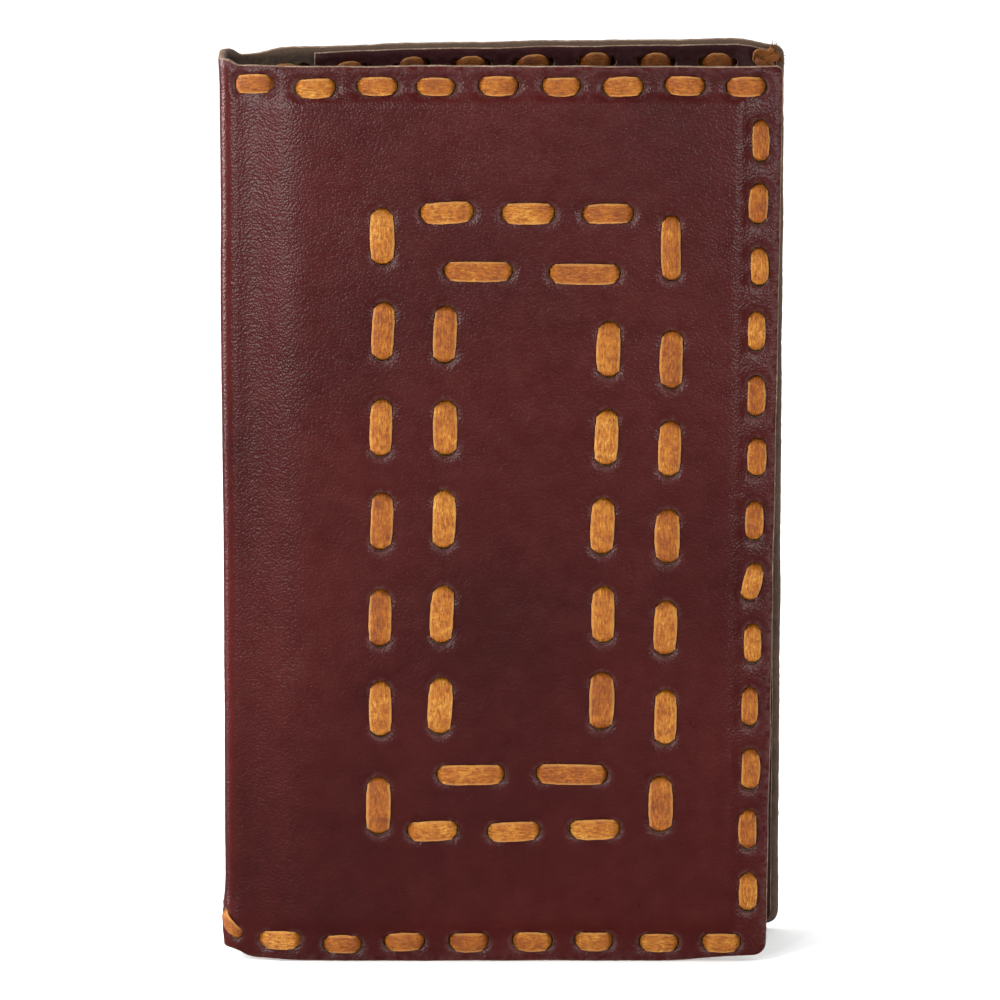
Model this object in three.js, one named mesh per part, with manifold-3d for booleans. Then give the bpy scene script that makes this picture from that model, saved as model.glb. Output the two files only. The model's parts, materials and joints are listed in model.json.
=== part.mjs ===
// A hand-laced leather notebook cover, standing upright on its foot edge and slightly ajar.
// Millimetres, +Z up. The front panel faces -Y, the spine is at -X and the fore edge at +X.
//
// Each panel is made in its own panel space: u runs from the spine's outer face to the fore edge,
// d runs from the panel's outer face into the book, and z runs from the foot to the head.

import * as THREE from 'three';
import * as BufferGeometryUtils from 'three/addons/utils/BufferGeometryUtils.js';
import Module from 'manifold-3d';

const wasm = await Module();
wasm.setup();

// ---- Driving dimensions ----

const HEIGHT = 228; // foot to head
const SPINE_DEPTH = 21; // outer face to outer face, at the folds
const CORNER_R = 5; // outer radius of the leather at each fold
const BACK_OPEN = THREE.MathUtils.degToRad(5.2); // how far the back panel stands ajar

const COVER = 1.5; // thickness of the cover leather
const POCKET = 1.2; // thickness of the pocket leather
const BOARD = 1.5; // thickness of the stiffener boards
const GAP = 0.3; // clearance between pieces that lie on each other
const FOLD_GAP_ANGLE = THREE.MathUtils.degToRad(2); // half the slit that each fold is parted by

const LACE_WIDTH = 4.8;
const LACE_THICK = 0.9;
const MOTIF_LACE_WIDTH = 5.8;
const HOLE_CLEARANCE = 0.3;
const STITCH = 9.6; // hole to hole, border rows
const ROW_INSET = 5; // from a panel's edge to the middle of its row

const POCKET_MOUTH = 24; // from the spine's outer face to the pocket's open side
const POCKET_INSET = 2; // the pocket leather is cut this much smaller than the cover
const FLANGE = 8.2; // how much of the pocket lies flat on the cover, from the cover's edge
const BOARD_INSET = 2; // from the pocket's mouth to the board

const FRONT = {
  reachHead: 138.8, // spine's outer face to the fore edge, at the head
  reachFoot: 136, // the fore edge is cut out of square, so the foot is narrower
  headCorner: 2,
  footCorner: 3,
  motifPass: LACE_THICK + GAP, // room behind the cover leather for the motif laces
};
const BACK = {
  reachHead: 140.6,
  reachFoot: 140.6,
  headCorner: 3,
  footCorner: 3,
  motifPass: 0,
};

// Border rows: the first stitch's centre from the spine's outer face, the last one's centre from
// the fore edge, and the number of stitches. The fore edge's row is given by the heights of its ends.
const HEAD_ROW = { first: 8.4, lastInset: 9, count: 9 };
const FOOT_ROW = { first: 13.6, lastInset: 11.1, count: 8 };
const EDGE_ROW = { head: 209, foot: 18, count: 13 };

// Two nested rectangles of stitches on the front panel. Both lean with the fore edge.
const OUTER_MOTIF = {
  left: { uHead: 40.1, uFoot: 38.9, head: 185.5, foot: 40.8, count: 7, stitch: 14.6 },
  right: { uHead: 111.9, uFoot: 109.6, head: 154.5, foot: 40.8, count: 6, stitch: 14.4 },
  rightTop: { z: 182.8, stitch: 16.8 }, // one longer stitch, set apart from the column below it
  top: { z: 191.4, first: 55.7, last: 95.9, count: 3, stitch: 13 },
  bottom: { z: 34.2, first: 52.4, last: 92.8, count: 3, stitch: 12.8 },
};
const INNER_MOTIF = {
  left: { uHead: 56.1, uFoot: 54.5, head: 160.9, foot: 66.1, count: 5, stitch: 14.2 },
  right: { uHead: 96, uFoot: 94.4, head: 157.3, foot: 67.4, count: 5, stitch: 14 },
  top: { z: 176.5, first: 63.8, last: 90.5, count: 2, stitch: 17 },
  bottom: { z: 48.1, first: 62, last: 87.5, count: 2, stitch: 16.4 },
};

const SPINE_PASS = 10; // length of the lace's straight part inside the spine
const SPINE_PASS_FOOT = 12; // height of the middle of the lower one
const KNOT = { u: 136.8, z: 223.4, radius: 2.8, flat: 0.62, tail: 6 };

// ---- Colours ----

const BURGUNDY = { color: 0x56282b, roughness: 0.46, metalness: 0 };
const BURGUNDY_INNER = { color: 0x4d2628, roughness: 0.55, metalness: 0 };
const TAN = { color: 0xc87d35, roughness: 0.62, metalness: 0 };
const GREYBOARD = { color: 0x8b8378, roughness: 0.9, metalness: 0 };

// ---- Derived places ----

const FOLD = CORNER_R * (1 - Math.SQRT1_2); // u and d of each fold's axis, on the outer surface
const BORDER_LOW = COVER + GAP + POCKET + GAP + LACE_THICK / 2; // middle of the lace inside the book
const MOTIF_LOW = COVER + GAP + LACE_THICK / 2;
const LACE_TOP = -(GAP + LACE_THICK / 2); // middle of the lace on the outer face

// ---- Solids ----

function solidOf(geometry) {
  const bare = geometry.clone();
  bare.deleteAttribute('normal');
  bare.deleteAttribute('uv');
  const merged = BufferGeometryUtils.mergeVertices(bare, 1e-4);
  return new wasm.Manifold(new wasm.Mesh({
    numProp: 3,
    vertProperties: Float32Array.from(merged.attributes.position.array),
    triVerts: Uint32Array.from(merged.index.array),
  }));
}

function geometryOf(solid) {
  const { vertProperties, triVerts } = solid.getMesh();
  const geometry = new THREE.BufferGeometry();
  geometry.setAttribute('position', new THREE.BufferAttribute(vertProperties, 3));
  geometry.setIndex(new THREE.BufferAttribute(triVerts, 1));
  return geometry;
}

// Turns the faces of a closed indexed geometry outwards.
function facedOut(geometry) {
  const position = geometry.attributes.position;
  const index = geometry.index.array;
  const corner = [new THREE.Vector3(), new THREE.Vector3(), new THREE.Vector3()];
  let volume = 0;
  for (let i = 0; i < index.length; i += 3) {
    corner.forEach((point, k) => point.fromBufferAttribute(position, index[i + k]));
    volume += corner[0].dot(corner[1].clone().cross(corner[2]));
  }
  if (volume < 0) {
    for (let i = 0; i < index.length; i += 3) {
      [index[i], index[i + 1]] = [index[i + 1], index[i]];
    }
  }
  return geometry;
}

// A prism along z of an outline of [u, d] points.
function upright(points, z0, z1) {
  const shape = new THREE.Shape(points.map(([u, d]) => new THREE.Vector2(u, d)));
  const geometry = new THREE.ExtrudeGeometry(shape, { depth: z1 - z0, bevelEnabled: false });
  return solidOf(geometry.translate(0, 0, z0));
}

// A sheet lying in the panel, from depth d0 to d1, of a shape drawn in u and z.
function sheet(shape, d0, d1) {
  const options = { depth: d1 - d0, bevelEnabled: false, curveSegments: 3 };
  const geometry = new THREE.ExtrudeGeometry(shape, options);
  return solidOf(geometry.rotateX(Math.PI / 2).translate(0, d1, 0));
}

function block(u0, u1, d0, d1, z0, z1) {
  const geometry = new THREE.BoxGeometry(u1 - u0, d1 - d0, z1 - z0);
  return solidOf(geometry.translate((u0 + u1) / 2, (d0 + d1) / 2, (z0 + z1) / 2));
}

// Points on an arc about (5, 5) of the fold, in u and d.
function arc(radius, fromAngle, toAngle, steps) {
  const points = [];
  for (let i = 0; i <= steps; i += 1) {
    const angle = fromAngle + ((toAngle - fromAngle) * i) / steps;
    points.push([CORNER_R + radius * Math.cos(angle), CORNER_R + radius * Math.sin(angle)]);
  }
  return points;
}

// ---- Stitches ----

// Each stitch runs from hole a to hole b, both [u, z]. A run of them is laced in order.
function stitchesAlong(first, last, count, length) {
  const from = new THREE.Vector2(...first);
  const to = new THREE.Vector2(...last);
  const half = to.clone().sub(from).normalize().multiplyScalar(length / 2);
  const stitches = [];
  for (let i = 0; i < count; i += 1) {
    const centre = from.clone().lerp(to, i / (count - 1));
    stitches.push({ a: centre.clone().sub(half), b: centre.clone().add(half) });
  }
  return stitches;
}

// The border is laced along the head, down the fore edge and back along the foot.
function borderStitches(panel) {
  const slope = (panel.reachHead - panel.reachFoot) / HEIGHT;
  const edgeU = (z) => panel.reachHead - slope * (HEIGHT - z) - ROW_INSET;
  const edgePoint = (z) => [edgeU(z), z];
  const headPoint = (u) => [u, HEIGHT - ROW_INSET];
  const footPoint = (u) => [u, ROW_INSET];
  const headEnd = headPoint(panel.reachHead - HEAD_ROW.lastInset);
  const footEnd = footPoint(panel.reachFoot - FOOT_ROW.lastInset);
  return [
    ...stitchesAlong(headPoint(HEAD_ROW.first), headEnd, HEAD_ROW.count, STITCH),
    ...stitchesAlong(edgePoint(EDGE_ROW.head), edgePoint(EDGE_ROW.foot), EDGE_ROW.count, STITCH),
    ...stitchesAlong(footEnd, footPoint(FOOT_ROW.first), FOOT_ROW.count, STITCH),
  ];
}

// A motif is laced up its left side, along the top, down the right side and back along the bottom.
function motifStitches({ left, right, rightTop, top, bottom }) {
  const up = [[left.uFoot, left.foot], [left.uHead, left.head], left.count, left.stitch];
  const down = [[right.uHead, right.head], [right.uFoot, right.foot], right.count, right.stitch];
  const apart = [];
  if (rightTop) {
    const half = rightTop.stitch / 2;
    const a = new THREE.Vector2(right.uHead, rightTop.z + half);
    const b = new THREE.Vector2(right.uHead, rightTop.z - half);
    apart.push({ a, b });
  }
  return [
    ...stitchesAlong(...up),
    ...stitchesAlong([top.first, top.z], [top.last, top.z], top.count, top.stitch),
    ...apart,
    ...stitchesAlong(...down),
    ...stitchesAlong([bottom.last, bottom.z], [bottom.first, bottom.z], bottom.count, bottom.stitch),
  ];
}

// One flat lace woven through its holes: over the leather from a to b, and under it to the next
// stitch. Its section has four corners, and it is mitred where it turns into and out of a hole.
function lace(stitches, width, top, low) {
  const half = LACE_THICK / 2;
  const rings = [];
  const ring = (hole, depth, along, turn) => {
    const side = new THREE.Vector3(-along.y, 0, along.x).multiplyScalar(width / 2);
    const mitre = new THREE.Vector3(turn * along.x, -1, turn * along.y).multiplyScalar(half);
    const centre = new THREE.Vector3(hole.x, depth, hole.y);
    rings.push([[1, 1], [-1, 1], [-1, -1], [1, -1]].map(([s, m]) => (
      centre.clone().addScaledVector(side, s).addScaledVector(mitre, m))));
  };
  for (const { a, b } of stitches) {
    const along = b.clone().sub(a).normalize();
    ring(a, low, along, -1);
    ring(a, top, along, -1);
    ring(b, top, along, 1);
    ring(b, low, along, 1);
  }
  const index = [0, 1, 2, 0, 2, 3];
  for (let r = 0; r + 1 < rings.length; r += 1) {
    for (let k = 0; k < 4; k += 1) {
      const [p, q] = [4 * r + k, 4 * r + ((k + 1) % 4)];
      index.push(p, p + 4, q, q, p + 4, q + 4);
    }
  }
  const end = 4 * (rings.length - 1);
  index.push(end, end + 2, end + 1, end, end + 3, end + 2);
  const geometry = new THREE.BufferGeometry().setFromPoints(rings.flat());
  geometry.setIndex(index);
  return facedOut(geometry);
}

// The slots that a run of stitches passes through, from depth d0 to d1.
function punched(solid, stitches, width, d0, d1) {
  const across = width + 2 * HOLE_CLEARANCE;
  const along = LACE_THICK + 2 * HOLE_CLEARANCE;
  let result = solid;
  for (const { a, b } of stitches) {
    const angle = Math.atan2(b.y - a.y, b.x - a.x);
    for (const hole of [a, b]) {
      const slot = new THREE.BoxGeometry(along, d1 - d0, across);
      slot.rotateY(-angle).translate(hole.x, (d0 + d1) / 2, hole.y);
      result = result.subtract(solidOf(slot));
    }
  }
  return result;
}

// ---- Panels ----

// A panel's outline from u = start to its fore edge, drawn smaller by inset, with round corners.
function panelShape(panel, start, inset) {
  const [low, high] = [inset, HEIGHT - inset];
  const edge = (z) => {
    const share = z / HEIGHT;
    return panel.reachFoot + (panel.reachHead - panel.reachFoot) * share - inset;
  };
  const shape = new THREE.Shape();
  shape.moveTo(start, low);
  shape.lineTo(edge(low) - panel.footCorner, low);
  shape.quadraticCurveTo(edge(low), low, edge(low + panel.footCorner), low + panel.footCorner);
  shape.lineTo(edge(high - panel.headCorner), high - panel.headCorner);
  shape.quadraticCurveTo(edge(high), high, edge(high) - panel.headCorner, high);
  shape.lineTo(start, high);
  shape.closePath();
  return shape;
}

// The cover leather of one panel: a plate that bends into its half of the round fold.
function coverLeather(panel) {
  const endAngle = -0.75 * Math.PI + FOLD_GAP_ANGLE;
  const outer = arc(CORNER_R, endAngle, -Math.PI / 2, 3);
  const inner = arc(CORNER_R - COVER, -Math.PI / 2, endAngle, 3);
  const far = panel.reachHead + 1;
  const section = [...outer, [far, 0], [far, COVER], ...inner];
  const outline = sheet(panelShape(panel, -1, 0), -1, CORNER_R);
  return upright(section, 0, HEIGHT).intersect(outline);
}

function boardDepth(panel) {
  return COVER + GAP + panel.motifPass;
}

function pocketDepth(panel) {
  return boardDepth(panel) + BOARD + GAP;
}

// Inner ends of the space for the board, inside the pocket's laced flange.
function boardRoom(panel) {
  const reach = Math.min(panel.reachHead, panel.reachFoot);
  return {
    u: reach - FLANGE - POCKET,
    low: FLANGE + POCKET,
    high: HEIGHT - FLANGE - POCKET,
  };
}

// The pocket: a flange laced flat on the cover at three sides, raised over the board, open to the spine.
function pocketLeather(panel) {
  const room = boardRoom(panel);
  const floor = COVER + GAP;
  const raised = pocketDepth(panel);
  const flange = sheet(panelShape(panel, POCKET_MOUTH, POCKET_INSET), floor, floor + POCKET);
  const hump = block(POCKET_MOUTH, room.u + POCKET, floor, raised + POCKET, FLANGE, HEIGHT - FLANGE);
  const space = block(POCKET_MOUTH - 1, room.u, floor - 1, raised, room.low, room.high);
  return flange.add(hump).subtract(space);
}

function boardSolid(panel) {
  const room = boardRoom(panel);
  const depth = boardDepth(panel);
  const start = POCKET_MOUTH + BOARD_INSET;
  return block(start, room.u - GAP, depth, depth + BOARD, room.low + GAP, room.high - GAP);
}

// ---- Spine ----

// The spine's leather, in the front panel's space: its flat back and half of each round fold.
function spineSolid() {
  const toBack = ([u, d]) => [u, SPINE_DEPTH - d];
  const endAngle = -0.75 * Math.PI - FOLD_GAP_ANGLE;
  const outer = arc(CORNER_R, endAngle, -Math.PI, 3);
  const inner = arc(CORNER_R - COVER, -Math.PI, endAngle, 3);
  const outerBack = outer.map(toBack).reverse();
  const innerBack = inner.map(toBack).reverse();
  return upright([...outer, ...outerBack, ...innerBack, ...inner], 0, HEIGHT);
}

// A straight pass of the border lace across the spine's inner face.
function spinePass(z) {
  const u = COVER + GAP;
  const d = (SPINE_DEPTH - SPINE_PASS) / 2;
  const half = LACE_WIDTH / 2;
  return block(u, u + LACE_THICK, d, d + SPINE_PASS, z - half, z + half);
}

// ---- Knot ----

// The lace's tied end: a flattened lump with two short tails, on the inner face of the back panel.
function knotSolid() {
  const depth = BORDER_LOW + LACE_THICK / 2 + GAP + KNOT.radius * KNOT.flat;
  const lump = new THREE.SphereGeometry(KNOT.radius, 10, 7).scale(1, KNOT.flat, 1.1);
  let solid = solidOf(lump.translate(KNOT.u, depth, KNOT.z));
  for (const lean of [1.1, 0.3]) {
    const tail = new THREE.BoxGeometry(LACE_WIDTH / 2, LACE_THICK, KNOT.tail);
    tail.translate(0, 0, -KNOT.tail / 2).rotateY(lean).translate(KNOT.u, depth, KNOT.z);
    solid = solid.add(solidOf(tail));
  }
  return solid;
}

// ---- Assembly ----

function piece(name, geometry, finish) {
  const mesh = new THREE.Mesh(geometry, new THREE.MeshStandardMaterial(finish));
  mesh.name = name;
  return mesh;
}

// The same geometry seen in a mirror across the panel, for the back of the book.
function mirrored(geometry) {
  return facedOut(geometry.clone().scale(1, -1, 1));
}

function panelPieces(side, panel) {
  const border = borderStitches(panel);
  const through = pocketDepth(panel) + POCKET;
  const cover = punched(coverLeather(panel), border, LACE_WIDTH, -1, through);
  const pocket = punched(pocketLeather(panel), border, LACE_WIDTH, -1, through);
  return {
    cover,
    others: [
      piece(`${side}_pocket`, geometryOf(pocket), BURGUNDY_INNER),
      piece(`${side}_stiffener`, geometryOf(boardSolid(panel)), GREYBOARD),
      piece(`${side}_border_lace`, lace(border, LACE_WIDTH, LACE_TOP, BORDER_LOW), TAN),
    ],
  };
}

function frontPanel() {
  const { cover, others } = panelPieces('front', FRONT);
  const outer = motifStitches(OUTER_MOTIF);
  const inner = motifStitches(INNER_MOTIF);
  const pierced = punched(cover, [...outer, ...inner], MOTIF_LACE_WIDTH, -1, COVER + GAP);
  const group = new THREE.Group();
  group.add(piece('front_cover_leather', geometryOf(pierced), BURGUNDY), ...others);
  group.add(piece('front_outer_motif_lace', lace(outer, MOTIF_LACE_WIDTH, LACE_TOP, MOTIF_LOW), TAN));
  group.add(piece('front_inner_motif_lace', lace(inner, MOTIF_LACE_WIDTH, LACE_TOP, MOTIF_LOW), TAN));
  return group;
}

// The back panel is made like the front one, mirrored, and turned about its fold.
function backPanel() {
  const { cover, others } = panelPieces('back', BACK);
  const pieces = [
    piece('back_cover_leather', geometryOf(cover), BURGUNDY),
    ...others,
    piece('back_corner_knot', geometryOf(knotSolid()), TAN),
  ];
  const hinge = new THREE.Group();
  hinge.position.set(FOLD, SPINE_DEPTH - FOLD, 0);
  hinge.rotation.z = BACK_OPEN;
  for (const mesh of pieces) {
    mesh.geometry = mirrored(mesh.geometry);
    mesh.position.set(-FOLD, FOLD, 0);
    hinge.add(mesh);
  }
  return hinge;
}

function spine() {
  const group = new THREE.Group();
  group.add(piece('spine_leather', geometryOf(spineSolid()), BURGUNDY));
  group.add(piece('spine_head_lace', geometryOf(spinePass(HEIGHT - ROW_INSET)), TAN));
  group.add(piece('spine_foot_lace', geometryOf(spinePass(SPINE_PASS_FOOT)), TAN));
  return group;
}

const cover = new THREE.Group();
cover.add(spine(), frontPanel(), backPanel());

// The origin goes under the middle of the whole object's box, on the surface that it stands on.
cover.updateMatrixWorld(true);
const box = new THREE.Box3().setFromObject(cover, true);
const middle = box.getCenter(new THREE.Vector3());
cover.position.set(-middle.x, -middle.y, -box.min.z);
cover.updateMatrixWorld(true);

export default cover;
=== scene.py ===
"""A hand-laced leather notebook cover, standing upright and slightly ajar.

Leather is made flat and then bent into shape. A place on a sheet is (s, z, depth) in millimetres:
s runs round the cover from the middle of the spine towards a fore edge, z runs up from the foot,
and depth runs from the cover's outer face into the book. place() turns that into the row frame.
"""

import json
import math

import bpy
import numpy as np
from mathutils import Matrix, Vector, geometry, noise


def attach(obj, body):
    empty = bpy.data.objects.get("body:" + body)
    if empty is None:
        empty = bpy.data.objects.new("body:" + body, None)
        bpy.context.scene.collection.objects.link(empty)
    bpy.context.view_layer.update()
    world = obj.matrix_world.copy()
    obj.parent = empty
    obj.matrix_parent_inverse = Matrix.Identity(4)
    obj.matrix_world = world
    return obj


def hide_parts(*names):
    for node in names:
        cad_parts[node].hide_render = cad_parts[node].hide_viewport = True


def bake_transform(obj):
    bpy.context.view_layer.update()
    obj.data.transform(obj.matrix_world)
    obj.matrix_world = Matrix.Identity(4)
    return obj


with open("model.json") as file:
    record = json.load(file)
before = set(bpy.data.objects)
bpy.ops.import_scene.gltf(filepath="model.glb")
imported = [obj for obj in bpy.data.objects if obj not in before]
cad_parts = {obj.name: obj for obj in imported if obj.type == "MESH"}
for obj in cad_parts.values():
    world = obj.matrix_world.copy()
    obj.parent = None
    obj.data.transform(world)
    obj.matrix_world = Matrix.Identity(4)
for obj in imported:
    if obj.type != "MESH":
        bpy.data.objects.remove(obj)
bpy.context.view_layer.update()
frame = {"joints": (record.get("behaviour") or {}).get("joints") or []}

MM = 0.001

# ---- The cover's dimensions, as in the CAD part ----

HEIGHT = 228.0
SPINE_DEPTH = 21.0  # outer face to outer face
CORNER_R = 5.0  # of the spine's two bends
COVER = 1.5  # leather of the cover
POCKET = 1.2  # leather of the pockets
BOARD = 1.5  # stiffener boards
GAP = 0.3  # between pieces that touch

ROW_INSET = 5.0  # from an edge to the middle of its row of stitches
STITCH = 10.0  # how much of a stitch of the border shows
LACE_WIDTH = 4.9
MOTIF_LACE_WIDTH = 5.9
LACE_THICK = 0.9
POCKET_MOUTH = 24.0  # from the spine's outer face
POCKET_INSET = 2.0  # from the cover's edges
FLANGE = 8.2  # the pocket's laced margin
BOARD_INSET = 2.0  # from the pocket's mouth
BOARD_MARGIN = 9.7  # from the cover's edges

HEAD_ROW = {"first": 8.4, "last_inset": 9.0, "count": 9, "back_rise": 1.4}
FOOT_ROW = {"first": 13.6, "last_inset": 11.1, "count": 8}
EDGE_ROW = {"head": 209.0, "foot": 18.0, "count": 13}

OUTER_MOTIF = {
    "left": {"head": (40.1, 185.5), "foot": (38.9, 40.8), "count": 7, "stitch": 14.6},
    "right": {"head": (111.9, 154.5), "foot": (109.6, 40.8), "count": 6, "stitch": 14.2},
    "right_top": {"centre": (111.9, 182.8), "stitch": 16.8},
    "top": {"first": (55.7, 191.4), "last": (95.9, 191.4), "count": 3, "stitch": 13.2},
    "bottom": {"first": (52.4, 34.2), "last": (92.8, 34.5), "count": 3, "stitch": 13.0},
}
INNER_MOTIF = {
    "left": {"head": (56.1, 160.9), "foot": (54.5, 66.1), "count": 5, "stitch": 14.2},
    "right": {"head": (96.0, 157.3), "foot": (94.4, 67.4), "count": 5, "stitch": 14.2},
    "top": {"first": (63.8, 176.5), "last": (90.5, 176.5), "count": 2, "stitch": 17.4},
    "bottom": {"first": (62.0, 48.1), "last": (87.5, 48.1), "count": 2, "stitch": 17.0},
}

# ---- Places that follow from them ----

POCKET_EDGE = POCKET_MOUTH - 0.8  # the real cut wanders towards the spine
FLANGE_DEPTH = COVER + 0.1
KNOT = {"u": 135.4, "z": 225.6}
FOLD = CORNER_R * (1 - math.sqrt(0.5))
FLAT = SPINE_DEPTH / 2 - CORNER_R  # half of the spine's flat back, along s
BEND = CORNER_R * math.pi / 2
START = FLAT + BEND  # where the flat panel begins, along s
JOINTS = {joint["name"]: joint for joint in frame["joints"]}


class Side:
    """One panel of the cover: which way it faces, where it folds and how far its leather reaches."""

    def __init__(self, name, sign, ajar, reach_head, reach_foot, motif_pass, seed):
        self.name = name
        self.sign = sign
        self.ajar = math.radians(ajar)
        self.reach_head = reach_head
        self.reach_foot = reach_foot
        self.motif_pass = motif_pass
        self.seed = seed
        self.hinge = [c / MM for c in JOINTS[name + "_fold"]["pos_m"]]
        self.body = name + "_panel"

    def edge(self, z):
        """s of the fore edge at height z."""
        share = np.clip(np.asarray(z, float) / HEIGHT, 0, 1)
        return along(self.reach_foot + (self.reach_head - self.reach_foot) * share)

    def board_depth(self):
        return COVER + GAP + self.motif_pass

    def pocket_depth(self):
        return self.board_depth() + BOARD + GAP


def along(u):
    """s of a place that is u from the spine's outer face, on the flat panel."""
    return u + START - CORNER_R


FRONT = Side("front", 1, 0.0, 138.8, 136.0, LACE_THICK + GAP, 11)
BACK = Side("back", -1, 5.2, 140.6, 140.6, 0.0, 47)


def smooth(t):
    """From 0 to 1 without a corner at either end."""
    t = np.clip(t, 0, 1)
    return t * t * (3 - 2 * t)


def unit(vectors):
    """The same ways, each 1 long."""
    return vectors / np.linalg.norm(vectors, axis=-1, keepdims=True)


def place(side, s, z, depth):
    """Places on the bent leather, as points of the row frame in metres."""
    s, z, depth = np.broadcast_arrays(*(np.asarray(v, float) for v in (s, z, depth)))
    turn = np.clip((s - FLAT) / CORNER_R, 0, math.pi / 2)
    radius = CORNER_R - depth
    u = CORNER_R - radius * np.cos(turn) + np.maximum(s - START, 0)
    d = CORNER_R - radius * np.sin(turn) - np.minimum(s - FLAT, 0)
    x, y = u - FOLD, side.sign * (d - FOLD)
    angle = side.ajar * smooth((s - FLAT) / BEND)
    cos, sin = np.cos(angle), np.sin(angle)
    hx, hy, _ = side.hinge
    return np.stack([hx + x * cos - y * sin, hy + x * sin + y * cos, z], -1) * MM


def bumps(s, z, size, seed):
    """Smooth noise from -1 to 1 over a sheet, with features about size across."""
    at = np.stack([np.asarray(s, float) / size, np.asarray(z, float) / size], -1)
    flat = [noise.noise(Vector((a, b, seed * 7.31))) for a, b in at.reshape(-1, 2)]
    return np.array(flat).reshape(at.shape[:-1])


# ---- Stitches ----


class Stitch:
    """A stitch from a to b, both (s, z), that shows for the length between them.

    loose is how far it strays, at random, from an even row.
    """

    def __init__(self, a, b, width, rng, loose=1.0):
        a, b = np.array(a, float), np.array(b, float)
        centre, half = (a + b) / 2, (b - a) / 2
        centre = centre + rng.normal(0, 0.28, 2) * loose
        turn = rng.normal(0, 0.022) * loose
        half = half * (1 + rng.normal(0, 0.025) * loose)
        half = np.array([half[0] - turn * half[1], half[1] + turn * half[0]])
        self.a, self.b = centre - half, centre + half
        self.centre = centre
        self.length = 2 * np.linalg.norm(half)
        self.way = unit(half)
        self.left = np.array([-self.way[1], self.way[0]])
        self.width = width * (1 + rng.normal(0, 0.045) * loose)
        self.rise = 1 + rng.normal(0, 0.1) * loose
        self.bow = rng.normal(0, 0.16) * loose
        self.tint = rng.random()
        self.sunk = 0.1  # how deep the lace presses into the leather

    def turn(self, angle):
        cos, sin = math.cos(angle), math.sin(angle)
        self.way = np.array([cos * self.way[0] - sin * self.way[1], sin * self.way[0] + cos * self.way[1]])
        self.left = np.array([-self.way[1], self.way[0]])
        half = self.way * self.length / 2
        self.a, self.b = self.centre - half, self.centre + half

    def lift(self, rise):
        for point in (self.a, self.b, self.centre):
            point[1] += rise

    def holes(self):
        """Centres of its two round holes. Each reaches a little past the end of the stitch."""
        back = self.radius() - HOLE_SHOWS
        return [self.a + self.way * back, self.b - self.way * back]

    def radius(self):
        return self.width * 0.46


HOLE_SHOWS = 0.42  # how much of each hole shows past the lace


def row(first, last, count, length, width, rng):
    first, last = np.array(first, float), np.array(last, float)
    half = unit(last - first) * length / 2
    centres = [first + (last - first) * i / (count - 1) for i in range(count)]
    return [Stitch(c - half, c + half, width, rng) for c in centres]


def border_rows(side):
    """Along the head, down the fore edge and back along the foot, as it is laced."""
    rng = np.random.default_rng(side.seed)
    edge = [(float(side.edge(z)) - ROW_INSET, z) for z in (EDGE_ROW["head"], EDGE_ROW["foot"])]
    head, foot = HEIGHT - ROW_INSET, ROW_INSET
    head_ends = [along(HEAD_ROW["first"]), along(side.reach_head - HEAD_ROW["last_inset"])]
    foot_ends = [along(side.reach_foot - FOOT_ROW["last_inset"]), along(FOOT_ROW["first"])]
    head_row = row((head_ends[0], head), (head_ends[1], head), HEAD_ROW["count"], STITCH, LACE_WIDTH, rng)
    if side is BACK:
        for stitch in head_row:
            stitch.lift(0.3 + HEAD_ROW["back_rise"] * float(smooth((stitch.centre[0] - 20) / 50)))
    return [
        *head_row,
        *row(edge[0], edge[1], EDGE_ROW["count"], STITCH, LACE_WIDTH * 0.93, rng),
        *row((foot_ends[0], foot), (foot_ends[1], foot), FOOT_ROW["count"], STITCH, LACE_WIDTH, rng),
    ]


def motif_rows(motif, seed):
    """Up the left side, along the top, down the right side and back along the bottom."""
    rng = np.random.default_rng(seed)
    width = MOTIF_LACE_WIDTH

    def line(part, start, end, wide):
        first, last = ((along(u), z) for u, z in (motif[part][start], motif[part][end]))
        return row(first, last, motif[part]["count"], motif[part]["stitch"], wide, rng)

    stitches = line("left", "foot", "head", width) + line("top", "first", "last", width * 0.9)
    if "right_top" in motif:
        u, z = motif["right_top"]["centre"]
        half = motif["right_top"]["stitch"] / 2
        stitches.append(Stitch((along(u), z + half), (along(u), z - half), width * 0.88, rng))
    return stitches + line("right", "head", "foot", width) + line("bottom", "last", "first", width * 0.9)


BORDERS = {side.name: border_rows(side) for side in (FRONT, BACK)}
TURNED_STITCH = 16  # one stitch of the front's fore edge lies askew
BORDERS["front"][TURNED_STITCH].turn(math.radians(-11))
MOTIFS = {"outer": motif_rows(OUTER_MOTIF, 5), "inner": motif_rows(INNER_MOTIF, 9)}

# At the foot a slanting stitch wraps each fold. The lace crosses the spine on its inside.
WRAPS = {
    side.name: Stitch((11.7, 6.0), (5.9, 12.6), LACE_WIDTH * 0.74, np.random.default_rng(3), loose=0)
    for side in (FRONT, BACK)
}
for _wrap in WRAPS.values():
    _wrap.rise = 0
    _wrap.sunk = 0.42


def stitches_on(side):
    """Every stitch whose holes the cover leather has on this side of the spine's middle."""
    found = BORDERS[side.name] + [WRAPS[side.name]]
    if side is FRONT:
        found += MOTIFS["outer"] + MOTIFS["inner"]
    return found


# ---- The shape of the cover leather ----

FIELD_RISE = 0.75  # how far the leather over the board stands out of the laced border
FIELD_INSET = 8.9  # from the panel's edge to the field


def field(side, s, z):
    """1 over the board and 0 at the laced border, with soft shoulders."""
    near = smooth((s - START - 1.0) / 17.0)
    far = smooth((side.edge(z) - FIELD_INSET - s) / 2.6 + 0.5)
    low = smooth((z - FIELD_INSET) / 2.8 + 0.5)
    high = smooth((HEIGHT - FIELD_INSET + 1.0 - z) / 2.8 + 0.5)
    return near * far * low * high


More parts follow.
